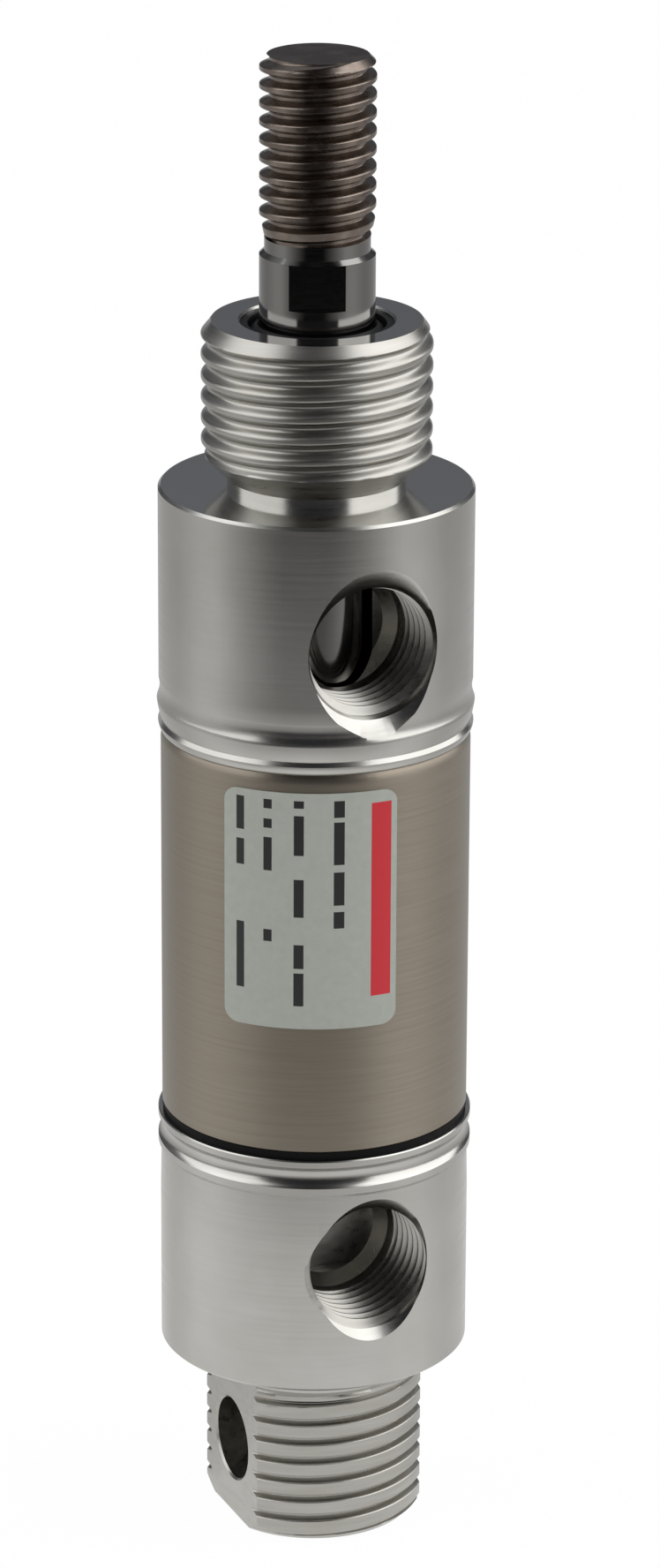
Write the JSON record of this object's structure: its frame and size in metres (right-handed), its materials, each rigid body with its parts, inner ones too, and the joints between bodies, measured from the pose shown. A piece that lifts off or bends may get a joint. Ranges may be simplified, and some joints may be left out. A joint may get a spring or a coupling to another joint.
{
  "type": "round body pneumatic cylinder",
  "caption": "Round double-acting air cylinder: steel barrel, aluminium end covers with side ports, threaded nose and rear stub with pivot hole, sliding threaded rod.",
  "frame": {"origin": "centre of the rear end face, on which the cylinder stands", "axes": "+Z along the cylinder axis towards the rod end; both air ports face -Y; the pivot hole runs along X"},
  "size_m": [0.0224, 0.0224, 0.1073],
  "materials": {
    "cover_aluminium": "turned bright aluminium",
    "barrel_steel": "brushed stainless steel tube",
    "black_rubber": "black nitrile rubber",
    "bush_bronze": "sintered bronze",
    "seal_polyurethane": "black polyurethane",
    "rod_steel": "hard chromed, polished steel",
    "piston_aluminium": "turned aluminium",
    "magnet_ferrite": "bonded ferrite",
    "guide_plastic": "filled bearing plastic",
    "nut_steel": "zinc plated steel",
    "label_film": "silver grey printed film"
  },
  "bodies": {
    "housing": {"barrel": "barrel_steel", "rear_cover": "cover_aluminium", "front_cover": "cover_aluminium", "rear_gasket": "black_rubber", "rear_cover_ring": "black_rubber", "front_cover_ring": "black_rubber", "rod_bush": "bush_bronze", "rod_seal": "seal_polyurethane", "rear_buffer": "black_rubber", "front_buffer": "black_rubber", "label": "label_film"},
    "guide": {"guide_ring": "guide_plastic"},
    "rod": {"piston_rod": "rod_steel", "piston_rear": "piston_aluminium", "piston_front": "piston_aluminium", "rod_ring": "black_rubber", "magnet_ring": "magnet_ferrite", "rear_piston_seal": "black_rubber", "front_piston_seal": "black_rubber", "lock_washer": "nut_steel", "piston_nut": "nut_steel"}
  },
  "joints": [
    {"name": "rod_slide", "type": "slide", "parent": "housing", "child": "guide", "axis": [0, 0, 1], "range_m": [0, 0.01]},
    {"name": "rod_spin", "type": "hinge", "parent": "guide", "child": "rod", "pos_m": [0, 0, 0.0402], "axis": [0, 0, 1], "continuous": true}
  ]
}
